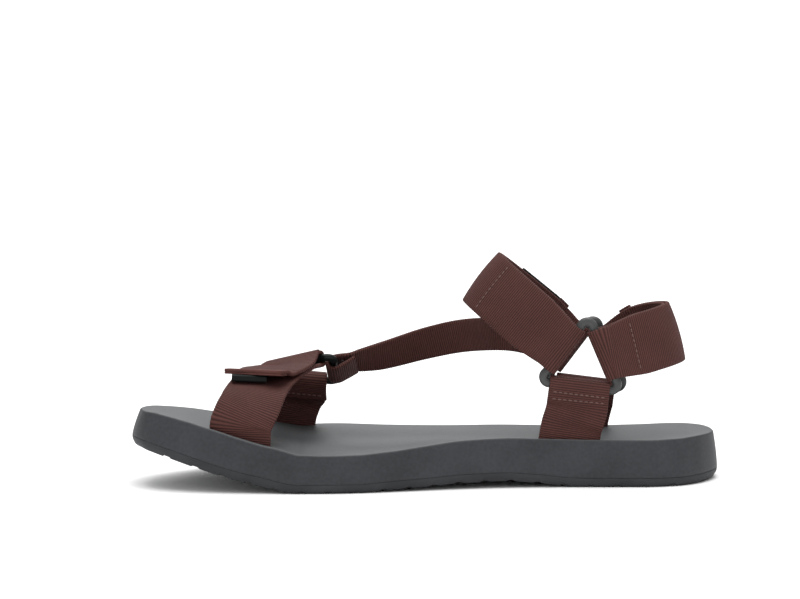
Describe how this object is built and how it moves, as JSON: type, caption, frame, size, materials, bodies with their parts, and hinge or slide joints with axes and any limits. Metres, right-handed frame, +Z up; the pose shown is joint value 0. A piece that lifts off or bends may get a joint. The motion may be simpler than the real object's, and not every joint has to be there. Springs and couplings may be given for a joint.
{
  "type": "sandal",
  "caption": "Flat strap sandal for the right foot: webbing straps looped through plastic rings at toes and ankle, on a moulded foam footbed with a thin grooved rubber outsole.",
  "frame": {"origin": "on the ground plane, under the middle of the sole's length and width", "axes": "+Z up; +X towards the heel, with the toe at -X; the inner (big toe) side of the right shoe faces -Y"},
  "size_m": [0.254, 0.0931, 0.0981],
  "materials": {
    "outsole": "dark grey rubber, matt, moulded",
    "midsole": "mid grey foam, matt, fine moulded grain",
    "webbing": "ribbed woven webbing, burgundy brown, soft sheen",
    "grey_plastic": "moulded, satin, grey green",
    "black_plastic": "moulded, semi-gloss, black"
  },
  "bodies": {
    "root": {"outsole": "outsole", "midsole": "midsole", "toe_strap": "webbing", "toe_anchor_lateral": "webbing", "toe_ring": "black_plastic", "pull_bar": "black_plastic", "link_strap": "webbing", "ankle_anchor_medial": "webbing", "ankle_anchor_lateral": "webbing", "ankle_ring_medial": "grey_plastic", "ankle_ring_lateral": "grey_plastic", "instep_strap": "webbing", "heel_strap": "webbing"}
  },
  "joints": []
}
